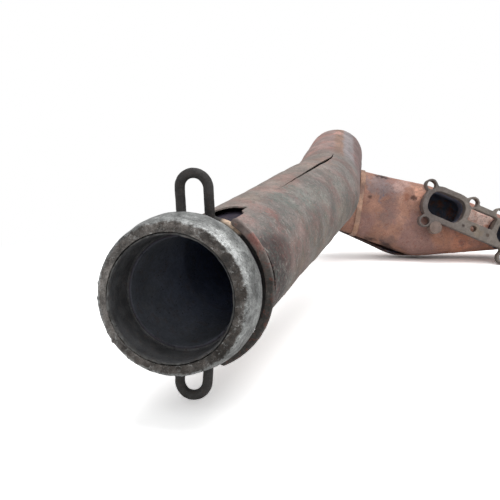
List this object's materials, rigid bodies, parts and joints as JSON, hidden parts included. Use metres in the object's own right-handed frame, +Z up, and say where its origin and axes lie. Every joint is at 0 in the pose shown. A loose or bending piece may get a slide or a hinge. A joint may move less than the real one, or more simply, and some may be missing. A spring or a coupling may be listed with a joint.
{
  "type": "exhaust manifold with outlet pipe",
  "caption": "Rusty welded exhaust manifold with a shielded outlet pipe, a ring seat with a wire bolt flange at one end and an engine port flange at the other.",
  "frame": {"origin": "centre of the outlet sleeve's open mouth", "axes": "+Y in through the outlet's mouth and along the pipe, +X towards the ports, +Z up from the floor that the part lies on"},
  "size_m": [0.3164, 0.5431, 0.1487],
  "materials": {
    "ground_seat_steel": "ground and pitted",
    "sooty_sleeve_steel": "sooty",
    "sooty_wire": "dark and matte",
    "brown_scaled_steel": "matte scale",
    "pipe_steel": "matte rust",
    "shield_steel": "mottled grey scale and rust",
    "manifold_steel": "copper brown rust",
    "band_steel": "light orange rust",
    "flange_plate_steel": "dull grey"
  },
  "bodies": {
    "root": {"seat_ring": "ground_seat_steel", "outlet_sleeve": "sooty_sleeve_steel", "wire_flange": "sooty_wire", "stop_collar": "brown_scaled_steel", "inner_pipe": "pipe_steel", "shield_left": "shield_steel", "shield_right": "shield_steel", "manifold_front_shell": "manifold_steel", "manifold_rear_shell": "manifold_steel", "neck_band": "band_steel", "manifold_tab": "sooty_wire", "port_tube_1": "manifold_steel", "port_tube_2": "manifold_steel", "port_flange": "flange_plate_steel", "flange_plug": "flange_plate_steel"}
  },
  "joints": []
}
